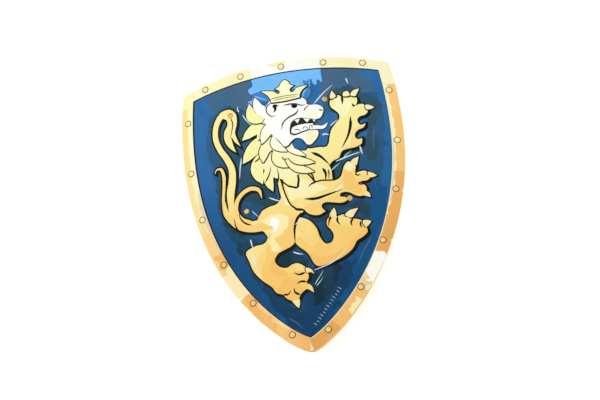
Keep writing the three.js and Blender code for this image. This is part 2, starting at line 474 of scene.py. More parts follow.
field = {  # millimetres; the dark patches: ink, raggedness, outline
    "patches": [
        ("harbour", 2.2, [
            (-58, 142), (-96, 136), (-106, 104), (-100, 52), (-99, 8), (-90, -26), (-76, -46), (-72, -66),
            (-64, -90), (-42, -122), (-14, -148), (18, -144), (50, -106), (66, -84), (44, -96), (14, -96),
            (8, -60), (-50, -40), (-58, -10), (-24, 4), (-40, 40), (-52, 92)]),
        ("harbour", 2.2, [
            (60, 150), (104, 142), (119, 112), (114, 52), (108, 20), (100, -14), (92, -46),
            (78, -62), (70, -60), (20, -60), (30, -8), (60, 0), (50, 30), (60, 62), (96, 70),
            (84, 110), (50, 112)]),
        ("slate", 1.6, [
            (49, 180, 1), (49, 152, 1), (45, 140), (52, 132), (66, 128), (80, 132), (97, 131),
            (112, 140), (104, 152), (97, 160), (100, 176, 1)]),
        ("slate", 1.8, [
            (-98, 180, 1), (-96, 160), (-99, 148), (-90, 139), (-78, 146), (-66, 137), (-52, 132),
            (-40, 136), (-43, 150), (-41, 180, 1)]),
        ("teal", 2.0, [
            (-98, 122), (-90, 136), (-72, 142), (-56, 132), (-50, 112), (-52, 96), (-60, 84),
            (-58, 62), (-48, 40), (-30, 26), (-24, 8), (-40, 2), (-62, 12), (-70, 40), (-74, 60),
            (-84, 84), (-92, 102)]),
        ("teal", 2.0, [
            (-98, 60), (-92, 70), (-86, 62), (-84, 30), (-86, 4), (-76, -14), (-62, -24),
            (-70, -34), (-84, -24), (-95, -4), (-99, 28)]),
        ("teal", 2.2, [
            (68, 144), (84, 142), (98, 132), (115, 120), (113, 98), (107, 80), (110, 60),
            (98, 42), (88, 54), (78, 50), (62, 54), (66, 66), (92, 72), (100, 92), (88, 108),
            (60, 110), (52, 128)]),
        ("teal", 1.8, [(46, 40), (58, 50), (66, 44), (60, 26), (50, 20), (44, 28)]),
        ("teal", 2.0, [
            (28, -8), (46, -12), (66, -12), (80, -10), (92, -18), (86, -30), (70, -20), (52, -20),
            (40, -14), (34, -30), (26, -34), (14, -24)]),
        ("teal", 2.0, [
            (-32, -62), (-20, -56), (-8, -56), (2, -72), (8, -88), (-4, -80), (-20, -84),
            (-32, -78)]),
        ("navy", 2.4, [
            (12, -92), (26, -90), (40, -88), (56, -84), (60, -98), (50, -118), (34, -140),
            (18, -158), (0, -176), (-14, -164), (-30, -146), (-44, -124), (-50, -104), (-44, -98),
            (-34, -116), (-20, -132), (-8, -140), (2, -132), (10, -118)]),
        ("teal", 1.8, [
            (14, -90), (28, -88), (44, -90), (42, -104), (32, -118), (20, -132), (8, -134),
            (10, -116)]),
        ("teal", 1.8, [
            (-68, -56), (-60, -52), (-50, -50), (-58, -40), (-70, -38), (-80, -44), (-78, -56)]),
        ("deepBlue", 1.8, [
            (88, -6), (98, 10), (110, 6), (108, -20), (98, -44), (86, -70), (74, -90), (64, -104),
            (58, -96), (70, -80), (82, -58), (90, -36)]),
        ("deepBlue", 1.8, [
            (-78, -60), (-88, -48), (-98, -40), (-94, -62), (-80, -88), (-62, -114), (-50, -130),
            (-46, -120), (-58, -98), (-68, -78)])],
    # broad pen strokes: place, run, rise, width
    "strokes": [
        (-104, 120, 3, 46, 2.2), (-100, 66, 2, -40, 1.8), (106, 88, -4, -34, 2.0),
        (112, 130, -1, 34, 1.6), (-88, -62, 18, -30, 1.8), (86, -58, -20, -34, 1.8),
        (74, -74, -16, -26, 1.4), (40, -128, -16, -20, 1.6), (-24, -146, 16, -16, 1.4),
        (96, 30, 4, -30, 1.6)],
    "strokeInks": ("blue", "deepBlue", "slate"), "firstSeed": 39}


def drawField():
    bounds = [fieldLoop] + shadowed
    for seed, (ink, reach, points) in enumerate(field["patches"], field["firstSeed"]):
        lay(ink, brushed(shape(points), reach, seed), within=bounds)
    # the bright patch above the crown and its brush marks
    lay("sky", brushed(shape([
        (-41, 180, 1), (49, 180, 1), (49, 153, 1), (44, 157), (41, 150), (37, 160), (33, 146), (29, 132),
        (24, 150), (10, 150), (-10, 152), (-24, 146), (-38, 138), (-48, 139), (-42, 147), (-45, 158),
        (-40, 163)]), 0.9, 61), within=bounds)
    lay("royal", brushed(shape([(26, 160), (30, 157), (34, 160), (33, 154), (29, 150), (26, 154)]), 0.5, 62))
    lay("royal", penStroke([(27, 152), (31, 143), (29, 132)], 2.4))
    lay("sky", penStroke([(-46, 144), (-44, 138), (-47, 134)], 2.6))
    plumes = [shape([(-42, 151, 1), (-35, 143), (-27, 138), (-18, 138, 1), (-21, 146), (-29, 152)]),
              shape([(19, 135, 1), (21, 143), (31, 150, 1), (34, 144), (31, 136), (25, 131, 1)])]
    inkGroup([("royal", plume) for plume in plumes], "teal", 0.8, 1.6)
    lay("sky", penStroke([(-38, 149), (-30, 144), (-22, 140)], 2.4))
    lay("sky", penStroke([(29, 148), (25, 142), (23, 136)], 2.6))
    for k, (x, y, run, rise, width) in enumerate(field["strokes"]):
        ink = field["strokeInks"][k % 3]
        lay(ink, penStroke([(x, y), (x + run * 0.6, y + rise * 0.5), (x + run, y + rise)], width),
            within=bounds)


# a rampant lion, in outlines a maker could cut as stencils
lion = {  # millimetres; a third value marks a sharp corner
    "farLeg": [
        (-6, -52), (-4, -30), (3, -21, 1), (14, -27), (21.5, -38), (25, -51), (31, -59.5), (38.5, -58),
        (41.5, -50), (39.5, -43.5), (35, -36.5), (36, -28.5), (41, -25, 1), (46, -24.5), (48.5, -27, 1),
        (54, -25), (60, -25.5), (64, -28.5), (67, -32, 1), (73, -33), (79, -37), (81.5, -43.5),
        (82.5, -50), (76, -56), (69, -60), (62, -70), (50, -78.5), (35, -84), (19, -86.5), (14.5, -83),
        (8, -69)],
    "nearLeg": [
        (-44, -46), (-58, -48), (-69, -53.5), (-66, -66), (-61.5, -80), (-51, -94), (-40.5, -104),
        (-36, -111.5), (-28, -115.5, 1), (-24, -121), (-17, -125), (-10, -124), (-7, -119, 1),
        (-3, -115.5), (1, -113), (4, -109.5), (2, -104, 1), (5, -100), (5.5, -95), (2, -92, 1), (5, -89),
        (2, -84.5), (-6, -79), (-13, -79.5), (-20, -82.5), (-29, -79.5), (-34, -71), (-29, -63),
        (-18, -58.5), (-8, -53), (-2, -40), (-8, -28), (-30, -22)],
    "trunk": [
        (-36, -46), (-41, -36.5), (-45, -30.5), (-56, -28), (-50, -14), (-44, -5), (-34, -1), (-24, 1),
        (-18, 8), (-19, 18), (-18, 40), (4, 58), (30, 58), (42, 46), (47, 38), (48, 28), (46, 14),
        (30, -2), (12, -12, 1), (4, -17), (-1, -24), (-5.5, -38), (-7, -52), (-18, -58)],
    "farArm": [
        (14, 70), (24, 66.5), (36, 66.5), (45, 66), (48.5, 70), (50.5, 78), (54, 88), (60, 95.5),
        (65, 101), (65.5, 107), (62, 112), (57, 117), (55.5, 123), (58, 129), (63, 132.5), (68, 132.5),
        (71.5, 129.5, 1), (77, 132.5), (84, 132), (89, 127.5), (89.5, 122), (86.5, 116.5, 1), (91, 118),
        (96, 118), (100, 113), (101, 108), (97, 103.5), (90, 101.5), (87, 98), (87.5, 93), (91, 90),
        (96.5, 92, 1), (93, 86.5), (86.5, 84), (82.5, 80), (81.5, 75), (84.5, 71.5), (90, 72.5, 1),
        (88.5, 65.5), (81, 61.5), (71, 60), (64, 58), (61, 53.5), (59, 49.5), (51, 46), (45, 41),
        (30, 40), (16, 56)],
    "nearArm": [
        (-16, 42), (-14, 28), (-11, 12), (-6, -2), (0, -8.5, 1), (8, -11), (13, -17), (19, -20.5),
        (27, -21.5), (35, -18, 1), (31.5, -13.5), (31, -9.5), (36, -6.5), (46, -8), (55, -9.5), (61, -8),
        (64, -5), (60, -2.5), (55, -1.5), (55, 2), (60, 4), (67, 2.5), (73, -1.5), (80, -3.5), (85, -1.5),
        (87.5, 4), (87, 9), (83, 12.5), (78.5, 14.5, 1), (84, 16), (90, 16.5), (93.5, 20), (92.5, 26),
        (88, 29), (82, 28.5), (76, 26.5, 1), (77, 32), (78.5, 38), (75, 42.5), (69, 43), (64, 38),
        (61, 30), (58, 24), (52, 20.5), (44, 20.5), (35, 21.5), (26, 21.5), (20, 30), (4, 48)],
    "farClaws": [
        [(57.5, 129), (57, 134), (60, 140, 1), (62.5, 136), (64, 131.5)],
        [(73, 131), (74, 136), (79, 137.5, 1), (81, 134), (81, 131)],
        [(82, 131.5), (85.5, 137), (94, 139.5, 1), (91, 134), (87.5, 129.5)],
        [(99, 116.5), (104, 116), (109.5, 112.5, 1), (104.5, 110.5), (99.5, 110.5)],
        [(39, -27), (41, -20), (46, -14.5, 1), (47.5, -21), (47, -26)],
        [(58, -26), (64, -20.5), (75, -18.5, 1), (70, -25), (66, -30)],
        [(78, -36), (83, -35), (88.5, -37, 1), (85, -41.5), (81, -44)],
        [(-18, -124), (-15, -130), (-10.5, -135.5, 1), (-8.5, -129), (-9.5, -123)],
        [(0, -112), (4, -114), (10, -119, 1), (8.5, -111.5), (4.5, -107)],
        [(4, -93), (8, -92.5), (13, -95.5, 1), (9, -88.5), (3, -86.5)]],
    "nearClaws": [
        [(72, 41.5), (76, 46), (83, 48.5, 1), (81, 42), (78.5, 37)],
        [(91.5, 27), (97, 25.5), (102, 21.5, 1), (97, 20), (93, 20)],
        [(84.5, 3.5), (90, 0), (91.5, -6, 1), (86, -4), (82, -2)]]}


def tailShapes():
    return [
        ("tawny", band([
            (-84, -10), (-90.5, 2), (-92, 20), (-89.5, 38), (-88.5, 52), (-91.5, 62), (-97, 62.5),
            (-100, 58)],
            [6, 6, 4.4, 3.6, 3.8, 4.4, 3.4, 0.6])),
        ("gold", band([
            (-34, -19), (-52, -22.5), (-68, -19), (-80, -9), (-84.5, 6), (-82.5, 24), (-78, 42),
            (-77, 58), (-82, 73), (-90, 88), (-94.5, 104), (-92, 121), (-84, 132), (-75, 133)],
            [24, 15, 13.5, 13, 12, 11, 10, 9, 8, 7.4, 7, 7, 7.6, 8.5])),
        ("tawny", band([
            (-60, -17), (-70, -11), (-76.5, 0), (-75, 13), (-67, 23), (-55, 27.5), (-45, 23.5), (-42, 12)],
            [7, 6.5, 6, 5.5, 5.2, 5.4, 4.6, 0.6])),
        ("gold", shape([
            (-86, 136), (-73, 138.5), (-65, 131), (-64.5, 118), (-68, 106), (-66, 96), (-62.5, 86, 1),
            (-69, 93), (-73.5, 101), (-72, 90), (-69, 79, 1), (-77, 87), (-82.5, 98), (-82, 110),
            (-77, 118), (-77.5, 125), (-83, 129.5)]))]


def drawBeast():
    tail = tailShapes()
    hind, thigh, belly, arm = (shape(lion[limb]) for limb in ("farLeg", "nearLeg", "trunk", "farArm"))
    inkGroup(tail + [("tawny", hind), ("gold", thigh), ("gold", belly), ("gold", arm)], thick=4.8)
    inkGroup([("claw", shape(claw)) for claw in lion["farClaws"]], thin=1.2, thick=2.2)
    # tones on the hindquarters, tail and far foreleg
    for ink, loop, points in (
            ("amber", hind, [
                (-8, -56), (4, -62), (18, -74), (32, -76), (52, -68), (66, -56), (84, -44), (84, -66),
                (50, -92), (10, -92)]),
            ("gold", hind, [
                (-4, -26), (6, -22), (14, -30), (20, -44), (22, -56), (14, -60), (4, -50), (-4, -40)]),
            ("gold", hind, [(40, -28), (52, -27), (62, -30), (66, -38), (56, -40), (46, -36)]),
            ("tawny", thigh, [
                (-38, -30), (-20, -36), (-10, -28), (-8, -60), (-30, -64), (-40, -74), (-30, -88),
                (-8, -88), (8, -96), (8, -130), (-30, -130), (-46, -104), (-52, -84), (-44, -60)]),
            ("amber", thigh, [
                (-8, -66), (-22, -60), (-34, -66), (-42, -78), (-34, -90), (-20, -94), (-8, -100),
                (-2, -116), (-20, -130), (-38, -116), (-28, -100), (-18, -90), (-28, -80), (-26, -70)]),
            ("butter", thigh, [(-38, -42), (-30, -36), (-22, -44), (-26, -58), (-36, -58)]),
            ("tawny", belly, [(-24, -28), (-8, -20), (2, -24), (-4, -60), (-20, -60), (-30, -44)]),
            ("butter", belly, [
                (-50, -22), (-40, -14), (-24, -12), (-12, -18), (-14, -32), (-26, -40), (-38, -34),
                (-46, -28)]),
            ("white", belly, [(-35, -20), (-30, -16), (-24, -19), (-25, -27), (-30, -33), (-34, -28)]),
            ("butter", belly, [(-16, 10), (-8, 24), (4, 20), (2, 2), (-6, -6), (-14, 0)]),
            ("tawny", arm, [(92, 88), (80, 84), (74, 66), (60, 56), (50, 46), (70, 50), (96, 64)]),
            ("butter", arm, [(60, 128), (72, 128), (82, 126), (80, 112), (70, 104), (62, 110), (60, 120)]),
            ("tawny", tail[1][1], [
                (-30, -30), (-52, -32), (-70, -28), (-84, -18), (-90, 0), (-84, -2), (-76, -14),
                (-62, -20), (-44, -20)])):
        lay(ink, brushed(shape(points), 0.8, len(layers)), within=[loop])
    for points, width, ink in (
            ([(5, -15), (-1, -23), (-5, -34), (-6.5, -53)], 2.4, "line"),
            ([(-66, -31), (-74, -26), (-79, -17), (-80, -6)], 1.6, "line"),
            ([(-58, -20), (-66, -16), (-72, -8), (-73, 2)], 1.5, "line"),
            ([(-87, 4), (-88, 22), (-86, 36), (-84.5, 46)], 1.7, "line"),
            ([(-86, 92), (-89.5, 106), (-87, 120), (-80, 127)], 1.1, "umber"),
            ([(-72, 128), (-70, 118), (-73, 106), (-76, 98)], 1.1, "umber"),
            ([(79, 103), (77.5, 90), (73, 77), (64, 62)], 2.4, "line"),
            ([(71.5, 131), (71.5, 126), (71, 120)], 2.2, "line"),
            ([(86.5, 116.5), (84, 117), (83, 120)], 2.0, "line"),
            ([(48.5, -27), (48, -33), (51, -38)], 1.9, "line"),
            ([(67, -32), (64, -36), (65, -41)], 1.9, "line"),
            ([(76, -36), (75, -41), (77, -45)], 1.6, "line"),
            ([(41, -25), (38, -31), (36.5, -38)], 1.5, "line"),
            ([(-7, -119), (-13, -115), (-14, -109)], 1.9, "line"),
            ([(2, -104), (-5, -102.5), (-10, -105)], 1.9, "line"),
            ([(2, -92), (-6, -93.5), (-12, -90)], 1.9, "line"),
            ([(-28, -115.5), (-22, -116), (-18, -112)], 1.7, "line"),
            ([(26, 61), (36, 54.5), (46.5, 42)], 2.6, "line"),
            ([(37.5, 38.5), (40.5, 31), (39.5, 22)], 2.4, "line"),
            ([(44, 36), (44.5, 30), (43.5, 22)], 1.2, "umber"),
            ([(18, 36), (23, 33), (25.5, 26), (26, 21)], 1.6, "line"),
            ([(-44, -4), (-48, -9), (-53, -12)], 1.2, "umber")):
        lay(ink, penStroke(points, width * 1.5))
    drawForeleg()
    drawMane()
    drawHead()
    drawCrown()


def drawForeleg():
    arm = shape(lion["nearArm"])
    inkGroup([("gold", arm)])
    inkGroup([("claw", shape(claw)) for claw in lion["nearClaws"]], thin=1.2, thick=2.2)
    for ink, points in (
            ("tawny", [
                (8, -14), (14, -6), (30, -3), (48, 2), (56, 6), (50, 12), (58, 20), (64, 34), (74, 40),
                (80, 26), (96, 22), (90, 6), (80, -6), (60, -12), (34, -24), (16, -24)]),
            ("amber", [(62, 8), (60, 22), (66, 32), (74, 26), (78, 14), (84, 8), (78, 0), (68, 4)]),
            ("butter", [
                (-12, 30), (-2, 34), (16, 26), (30, 18), (40, 12), (24, 6), (4, 4), (-6, 2), (-8, 14)]),
            ("butter", [(66, 40), (74, 41), (76, 34), (70, 31), (65, 34)]),
            ("white", [(50, 8), (58, 14), (61, 19), (60, 14), (54, 8)])):
        lay(ink, brushed(shape(points), 0.8, len(layers)), within=[arm])
    for points, width in (
            ([(11, 1.5), (25, 0), (40, 3), (58, 7.5)], 3.7), ([(28, 21.5), (22, 20), (17, 16.5)], 2.6),
            ([(76, 26.5), (79, 24), (83, 25)], 2.2), ([(78.5, 14.5), (81, 12), (86, 12)], 2.2)):
        lay("line", penStroke(points, width))


def drawMane():
    ruff = shape([
        (-26, 120), (-34, 106), (-40, 94), (-38, 80), (-40, 62), (-32, 44), (-20, 34), (-6, 32), (10, 36),
        (22, 46), (20, 60), (10, 70), (2, 84)])
    back = [lock((-18, 106), (-40, 105), (-60, 93), 17), lock((-24, 88), (-44, 80), (-62, 62), 19),
            lock((-30, 70), (-44, 52), (-39, 30), 18), lock((-22, 56), (-31, 37), (-27, 18), 14),
            lock((-6, 54), (-5, 36), (3, 19), 22)]
    lay("gold", ruff)
    inkGroup([("straw", leaf) for leaf in back], "line", 1.7, 3.2)
    lay("butter", ruff)
    for points in (
            [(-47, 61), (-41, 64), (-36, 70)], [(-36, 31), (-30, 40), (-26, 52)],
            [(-40, 88), (-34, 90), (-30, 94)], [(-22, 24), (-18, 36), (-19, 48)],
            [(-13, 32), (-14, 22), (-12, 12)]):
        lay("line", penStroke(points, 2.0))
    middle = [lock((-18, 86), (-32, 74), (-36, 58), 15), lock((-14, 74), (-17, 58), (-3, 46), 13),
              lock((-4, 58), (6, 44), (27, 35), 11), lock((-2, 70), (6, 55), (29, 47), 11)]
    for leaf in middle:
        inkGroup([("butter", leaf)], "umber", 1.3, 2.0)
    lay("butter", shape([(-22, 84), (-10, 74), (4, 72), (6, 62), (-4, 58), (-16, 66), (-24, 76)]))
    flames = [lock((-24, 119), (-43, 121), (-46, 140), 15), lock((-20, 124), (-33, 130), (-38.5, 147), 13)]
    inkGroup([("straw", flames[0]), ("white", flames[1])], "line", 1.1, 2.0)
    front = [lock((-10, 106), (-26, 99), (-35, 83), 15), lock((-10, 94), (-18, 80), (-4, 67), 12),
             lock((0, 90), (0, 72), (19, 57), 9), lock((-12, 114), (-21, 114), (-31, 110), 10)]
    for leaf in front:
        inkGroup([("ivory", leaf)], "umber", 1.1, 1.8)


def drawHead():
    skull = shape([
        (-18, 139, 1), (0, 139.5), (18, 138, 1), (24, 134.5), (27, 130), (27, 126, 1), (30, 124.5),
        (38, 124), (45, 120.5), (47, 116), (45, 110), (42, 105.5), (36, 104, 1), (33.5, 98),
        (32.5, 91, 1), (37, 88.5), (37, 83), (32, 76), (26, 71.5), (21.5, 72.5, 1), (19, 77), (15, 81.5),
        (9, 83), (3, 80), (-2, 75), (-6, 74), (-12, 82), (-18, 92), (-20, 104), (-22, 112), (-26, 120),
        (-26, 130)])
    inkGroup([("white", skull)], "umber", 1.0, 2.4)
    lay("white", shape([(-20, 92), (-7, 80), (1, 84), (0, 100), (-14, 112), (-25, 118), (-27, 104)]))
    lay("white", shape([(-30, 124), (-24, 132), (-16, 130), (-18, 116), (-26, 114)]))
    throat = shape([(11, 82), (16, 79), (18, 74), (22, 71, 1), (19, 66), (12, 67.5), (6, 71), (5, 77)])
    inkGroup([("blue", throat)], "line", 0.8, 1.5)
    lay("ivory", shape([(24, 109), (31, 107), (38, 108), (41, 112), (37, 116), (29, 117), (24, 114)]))
    lay("butter", shape([(23, 88), (31, 88.5), (34.5, 85), (30, 77), (25, 74), (21, 79)]))
    mouth = shape([
        (2.5, 90, 1), (3, 97), (5.5, 104), (11, 108), (18, 108.5), (26, 106.5), (35, 104, 1), (34, 98),
        (31, 91.5, 1), (22, 90.5), (14, 88.5), (7, 87.5)])
    lay("umber", swollen(mouth, 0.5, 0.8))
    lay("mouth", mouth)
    lay("white", shape([
        (4, 91, 1), (5.5, 97), (13, 99.5), (23, 100), (32.5, 99, 1), (31, 92.5, 1), (22, 91.5),
        (14, 89.8), (8, 88.8)]))
    for tooth in (
            [(9.5, 107.2, 1), (13, 102, 1), (16.5, 108, 1)],
            [(20.5, 107.6, 1), (25, 101.5, 1), (29, 105.6, 1)],
            [(32, 104.6, 1), (34, 100.5, 1), (35, 103.6, 1)]):
        lay("white", shape(tooth))
    tongue = band([(28, 94), (36, 93.5), (44, 92.5), (50.5, 97.5)], [5.5, 5.2, 4.6, 3.8, 0.2])
    inkGroup([("white", tongue)], "umber", 0.7, 1.5)
    lay("line", shape([
        (-16.5, 131), (-12, 132.5), (-8, 129, 1), (-11, 129), (-11.5, 125), (-16, 121, 1), (-14.5, 126)]))
    lay("line", shape([(7.5, 128.2, 1), (11, 129.5), (15.5, 128, 1), (14.5, 124), (10.5, 123), (8, 125)]))
    for points, width in (
            ([(8, 94), (13, 94), (16, 90.5)], 1.0), ([(18, 93), (21, 96), (25, 94), (24, 91)], 1.0),
            ([(30, 97), (31, 92)], 0.9),
            ([(-16, 136), (-23, 132), (-24.5, 125), (-20, 118), (-12, 117)], 1.5),
            ([(-2, 129), (6, 129.5), (14, 128.5), (20, 125.5), (26, 125.8)], 1.7),
            ([(16, 120.5), (12, 115.5), (2, 111.5), (-5, 106), (-8, 97)], 2.0),
            ([(22.5, 117.5), (25, 121), (29.5, 124)], 1.4), ([(41.5, 117), (44, 115), (47, 115.5)], 1.6)):
        lay("greyLine", penStroke(points, width * 1.2, 0.4, 0.8))


def drawCrown():
    crown = shape([
        (-17, 135.5, 1), (-18, 140.5, 1), (-21, 146), (-29, 153.5, 1), (-18, 151.5), (-12, 149.5),
        (-8.5, 146, 1), (-6, 146), (-5, 149), (-10.5, 153.5, 1), (-5, 155.5), (-2.5, 160), (2.5, 163),
        (7, 160), (9, 155.5), (13.5, 153.5, 1), (9, 151), (7.5, 148), (9.5, 145), (13, 146, 1),
        (16, 149.5), (22, 151), (31, 151.5, 1), (24, 146.5), (20, 141), (19, 136.5, 1), (1, 135)])
    inkGroup([("butter", crown)], "line", 1.1, 2.3)
    lay("ivory", shape([(-4, 144), (-2, 156), (2, 160), (4, 154), (3, 145)]))
    lay("umber", penStroke([(-18, 140.5), (0, 141.6), (20, 140.5)], 1.1, 0.7, 0.9))
    lay("umber", penStroke([(-14, 138), (2, 138.8), (17, 138)], 0.9, 0.5, 0.8))


strokeRow = {"from": (9, -160), "towards": (30, 36), "count": 13, "pitch": 4.4, "heights": (5.2, 3.6, 4.6)}


def drawGlints():
    for points, width in (
            ([(36, 125), (48, 137), (62, 148)], 1.5), ([(79, 155), (80, 151), (81, 147)], 1.6),
            ([(-56, 127), (-51, 118), (-44, 109)], 1.4), ([(-63, 70), (-66, 57), (-68, 43)], 1.6),
            ([(-33, 11), (-24, 6), (-15, 2)], 1.6), ([(-62, -38), (-61, -44), (-60, -50)], 1.6),
            ([(-62, -54), (-59, -70), (-57, -87)], 1.3), ([(-10, -64), (-4, -67), (2, -69)], 1.6),
            ([(13, -91), (38, -83), (60, -64)], 1.2), ([(12, -109), (18, -101), (24, -93)], 0.9),
            ([(14, -111), (19, -106), (23, -101)], 0.8), ([(48, 34), (53, 38), (59, 42)], 1.0),
            ([(55, 45), (70, 50), (88, 55)], 1.7), ([(63, 47), (69, 53), (75, 57)], 1.0),
            ([(86, 62), (87, 56), (88, 51)], 2.0), ([(42, 82), (46, 83), (50, 81)], 2.2),
            ([(53, 93), (57, 96), (63, 100)], 1.6), ([(6, -22), (1, -26), (-5, -30)], 1.2),
            ([(-56, -2), (-52, -7), (-48, -12)], 1.0), ([(-60, 132), (-62, 137), (-60, 140)], 1.4)):
        lay("glint", penStroke(points, width, 0.5, 0.6))
    # a row of short strokes, not letters, along the lower right of the field
    way = np.array(strokeRow["towards"]) / np.linalg.norm(strokeRow["towards"])
    lean = np.array([-way[1], way[0]])
    for k in range(strokeRow["count"]):
        foot = np.array(strokeRow["from"]) + way * (k * strokeRow["pitch"])
        tall = strokeRow["heights"][k % 3]
        stroke = [foot, foot + lean * tall * 0.5 + way * 0.5, foot + lean * tall]
        lay("mist", penStroke(stroke, 1.3, 0.8, 0.8))


drawRim()
drawField()
drawBeast()
drawGlints()
print("print drawn:", len(layers), "shapes")

printing = {"fadeFrom": -0.115, "fadeTo": 0.14, "waver": 0.09, "dabSize": 34, "dabFrom": 0.42, "dabTo": 0.66,
            "dabs": 0.5, "roughness": 0.36, "grain": 0.12}


def inkFinish(name, top, low, dabs):
    # a printed tone: a slow fade down the shield, brush dabs in a second tone and a faint satin film
    ink = Finish("print_" + name)
    colour = screen(*top)
    if low:
        height = ink.axis("Y") + (ink.noise(14) - 0.5) * printing["waver"]
        fade = ink.step(height, printing["fadeFrom"], printing["fadeTo"])
        colour = ink.mix(fade, screen(*low), colour)
    strokes = ink.noise(printing["dabSize"], 4, ink.stretched((1.0, 0.55, 1.0), 0.35), swirl=0.6)
    mask = ink.step(strokes, printing["dabFrom"], printing["dabTo"]) * printing["dabs"]
    grain = ink.noise(900, 2)
    return ink.skin(Base_Color=ink.mix(mask, colour, screen(*dabs)),
                    Roughness=grain * printing["grain"] + printing["roughness"],
                    Normal=ink.bump(grain, 0.08, 0.0002), Specular_IOR_Level=0.07)


inks = {  # piece: its inks, each with its tone at the top, at the bottom, and in its dabs
    "printed_rim": {
        "rimCream": [(252, 247, 206), (250, 232, 182), (252, 240, 180)],
        "rimButter": [(251, 245, 186), None, (252, 250, 214)],
        "rimWhite": [(254, 254, 251), None, (252, 250, 226)],
        "rimPeach": [(250, 226, 148), (248, 206, 140), (251, 234, 172)],
        "rimSand": [(216, 220, 190), (236, 206, 156), (240, 226, 182)],
        "rimAmber": [(252, 204, 124), (242, 184, 108), (249, 214, 140)],
        "rimOrange": [(245, 188, 108), (226, 166, 88), (240, 186, 112)],
        "studPale": [(251, 242, 186), None, (246, 226, 160)],
        "studWarm": [(244, 204, 138), None, (250, 222, 168)],
        "studLine": [(170, 138, 80), (136, 92, 40), (132, 98, 48)]},
    "printed_field": {
        "blue": [(50, 112, 170), (16, 72, 118), (32, 94, 148)],
        "harbour": [(48, 98, 134), (18, 62, 96), (38, 86, 128)],
        "slate": [(72, 106, 134), None, (56, 98, 140)],
        "teal": [(52, 90, 110), (17, 46, 60), (34, 78, 104)],
        "navy": [(18, 62, 98), None, (14, 52, 82)],
        "deepBlue": [(30, 92, 142), (18, 76, 120), (22, 84, 132)],
        "royal": [(60, 128, 200), None, (80, 150, 220)],
        "sky": [(122, 194, 253), None, (104, 180, 246)]},
    "printed_lion": {
        "gold": [(253, 243, 162), (250, 208, 117), (252, 238, 168)],
        "straw": [(252, 250, 178), (250, 238, 154), (251, 240, 156)],
        "tawny": [(252, 228, 146), (249, 201, 109), (251, 216, 128)],
        "amber": [(250, 212, 126), (247, 193, 102), (249, 202, 112)],
        "butter": [(253, 251, 196), (253, 234, 168), (253, 246, 184)],
        "ivory": [(254, 253, 224), None, (253, 250, 206)],
        "claw": [(253, 238, 178), (250, 214, 140), (253, 246, 204)],
        "white": [(255, 255, 253), None, (254, 254, 246)]},
    "printed_lines": {
        "line": [(16, 22, 18), None, (24, 34, 30)],
        "umber": [(66, 60, 24), None, (44, 42, 20)],
        "greyLine": [(78, 76, 66), None, (60, 60, 52)],
        "mouth": [(46, 42, 32), None, (30, 30, 26)],
        "glint": [(214, 234, 248), None, (236, 246, 252)],
        "mist": [(126, 160, 186), None, (150, 180, 200)]}}

film = {  # millimetres
    "rise": 0.1, "sink": 0.1, "mesh": 4.5, "close": 1.0, "cornerGap": 0.03, "edgeLine": 0.75,
    "slots": {"printed_rim": "print_gold", "printed_field": "print_field",
              "printed_lion": "print_gold", "printed_lines": "print_line"}}


def filmDepth(points):  # the film follows the rounded edge of the foam
    rounding = sheet["edgeRound"]
    fromEdge = np.clip(distanceTo(points, outline), 0, rounding)
    return rounding - np.sqrt(np.maximum(rounding ** 2 - (rounding - fromEdge) ** 2, 0))


def cutFilm():  # every shape's outline is an edge of the mesh, and each triangle takes the topmost ink
    edges = [filmEdge, inset(outline, film["edgeLine"]),
             inset(outline, sheet["edgeRound"] + 0.05)] + shadowed
    loops = edges + [loop for ink, loop, within, without in layers]
    flat, triangles = triangulated(loops, gridInside(filmEdge, film["mesh"], film["close"]))
    corners = flat[triangles]
    middle = corners.mean(1)
    first, second = corners[:, 1] - corners[:, 0], corners[:, 2] - corners[:, 0]
    size = np.abs(first[:, 0] * second[:, 1] - first[:, 1] * second[:, 0])
    kept = inside(middle, filmEdge) & (size > 1e-7)
    triangles, middle = triangles[kept], middle[kept]
    topmost = np.full(len(middle), -1)
    for index, (ink, loop, within, without) in enumerate(layers):
        covered = inside(middle, loop)
        for other in within:
            covered &= inside(middle, other)
        for other in without:
            covered &= ~inside(middle, other)
        topmost[covered] = index
    names = np.array([ink for ink, *rest in layers] + ["rimCream"])
    return flat, triangles, names[topmost]


def parted(flat, depth, triangles):  # areas that meet in one corner only each get a corner of their own
    edges = {(a, b) for face in triangles.tolist() for a, b in zip(face, face[1:] + face[:1])}
    leaving = Counter(a for a, b in edges if (b, a) not in edges)
    for corner in sorted(a for a, count in leaving.items() if count > 1):
        around = np.flatnonzero((triangles == corner).any(1)).tolist()
        loose = {row: set(triangles[row].tolist()) - {corner} for row in around}
        while loose:
            row, ends = loose.popitem()
            fan = [row]
            while near := [other for other in loose if loose[other] & ends]:
                for other in near:
                    ends |= loose.pop(other)
                    fan.append(other)
            inward = flat[sorted(ends)].mean(0) - flat[corner]
            moved = flat[corner] + film["cornerGap"] * inward / np.linalg.norm(inward)
            triangles[fan] = np.where(triangles[fan] == corner, len(flat), triangles[fan])
            flat, depth = np.vstack([flat, moved]), np.append(depth, depth[corner])
    return flat, depth, triangles


def wound(flat, triangles):  # every triangle counterclockwise, seen from the front
    a, b, c = flat[triangles].transpose(1, 0, 2)
    flipped = (b - a)[:, 0] * (c - a)[:, 1] - (b - a)[:, 1] * (c - a)[:, 0] < 0
    triangles[flipped] = triangles[flipped][:, ::-1]
    return triangles


